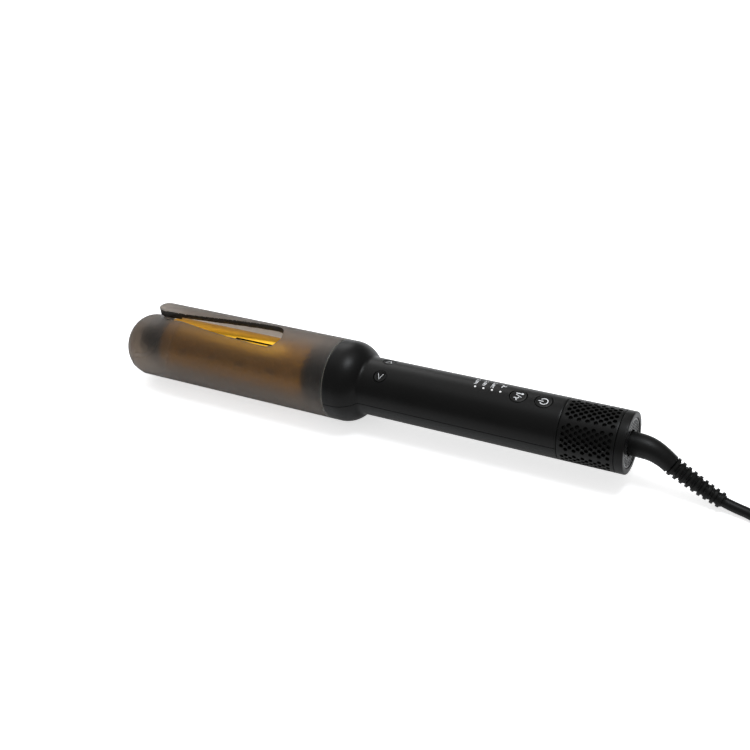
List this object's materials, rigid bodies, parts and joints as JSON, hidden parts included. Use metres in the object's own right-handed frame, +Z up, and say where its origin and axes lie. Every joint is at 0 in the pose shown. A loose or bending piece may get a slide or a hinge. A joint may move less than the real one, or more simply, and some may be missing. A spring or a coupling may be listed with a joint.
{
  "type": "automatic hair curler",
  "caption": "Handheld hair curler with a heated rotating barrel inside a slotted translucent guard, vented handle, buttons and mains cord.",
  "frame": {"origin": "under the middle of the tool's length, on the surface it lies on; the cord and its plug are left out of that box", "axes": "+X along the tool's axis towards the cord end, +Z up, the control side of the handle facing up"},
  "size_m": [0.5524, 0.0908, 0.0535],
  "materials": {
    "smoke_cover": "frosted smoky translucent plastic",
    "black_plastic": "satin black moulded plastic",
    "dark_plastic": "heat-resistant black plastic",
    "gold_barrel": "gold ceramic coating on aluminium",
    "aluminium": "extruded",
    "steel": "zinc plated",
    "brass": "plain",
    "ceramic": "fired ceramic",
    "gear_plastic": "acetal",
    "circuit_board": "solder mask",
    "light_guide": "milky light guide",
    "cord_rubber": "satin flexible PVC",
    "white_print": "printed marks on the handle and the buttons"
  },
  "bodies": {
    "body": {"guard_cover": "smoke_cover", "base_collar": "dark_plastic", "head_frame": "dark_plastic", "front_bearing": "steel", "rear_bearing": "steel", "brush_block": "dark_plastic", "motor_bracket": "steel", "motor_gearbox": "steel", "motor_can": "steel", "handle_upper_shell": "black_plastic", "handle_lower_shell": "black_plastic", "control_board": "circuit_board", "power_board": "circuit_board", "led_light_guide": "light_guide", "power_switch": "dark_plastic", "temperature_switch": "dark_plastic", "forward_switch": "dark_plastic", "reverse_switch": "dark_plastic", "vent_sleeve": "black_plastic", "dust_screen": "dark_plastic", "fan_frame": "dark_plastic", "fan_motor": "steel", "end_cap": "black_plastic", "end_grille": "black_plastic", "cord_clamp": "dark_plastic", "shell_screw_front": "steel", "shell_screw_rear": "steel", "cord_boot": "cord_rubber", "power_cord": "cord_rubber", "cord_coil": "cord_rubber", "coil_tie": "cord_rubber", "plug_lead": "cord_rubber", "plug_body": "cord_rubber", "plug_blade_left": "brass", "plug_blade_right": "brass"},
    "barrel": {"curl_barrel": "gold_barrel", "barrel_tip_cap": "dark_plastic", "barrel_hub": "dark_plastic", "heat_shoe_upper": "aluminium", "heat_shoe_lower": "aluminium", "heater_plate": "ceramic", "thermal_fuse": "steel", "temperature_sensor": "ceramic", "slip_ring_front": "brass", "slip_ring_rear": "brass", "ring_gear": "gear_plastic"},
    "pinion": {"motor_pinion": "brass"},
    "fan": {"fan_rotor": "dark_plastic"},
    "power_button": {"power_button": "black_plastic"},
    "temperature_button": {"temperature_button": "black_plastic"},
    "forward_button": {"forward_button": "black_plastic"},
    "reverse_button": {"reverse_button": "black_plastic"}
  },
  "joints": [
    {"name": "barrel_spin", "type": "hinge", "parent": "body", "child": "barrel", "pos_m": [-0.08, 0, 0.02674], "axis": [1, 0, 0], "continuous": true},
    {"name": "pinion_spin", "type": "hinge", "parent": "body", "child": "pinion", "pos_m": [0.007, 0, 0.01834], "axis": [1, 0, 0], "continuous": true},
    {"name": "fan_spin", "type": "hinge", "parent": "body", "child": "fan", "pos_m": [0.15, 0, 0.02674], "axis": [1, 0, 0], "continuous": true},
    {"name": "power_press", "type": "slide", "parent": "body", "child": "power_button", "axis": [0, 0, -1], "range_m": [0, 0.0007], "stiffness_N_per_m": 250},
    {"name": "temperature_press", "type": "slide", "parent": "body", "child": "temperature_button", "axis": [0, 0, -1], "range_m": [0, 0.0007], "stiffness_N_per_m": 250},
    {"name": "forward_press", "type": "slide", "parent": "body", "child": "forward_button", "axis": [0, 0.3827, -0.9239], "range_m": [0, 0.0007], "stiffness_N_per_m": 250},
    {"name": "reverse_press", "type": "slide", "parent": "body", "child": "reverse_button", "axis": [0, -0.3827, -0.9239], "range_m": [0, 0.0007], "stiffness_N_per_m": 250}
  ],
  "couplings": [
    {"joint": "pinion_spin", "follows": "barrel_spin", "ratio": 2.5}
  ]
}
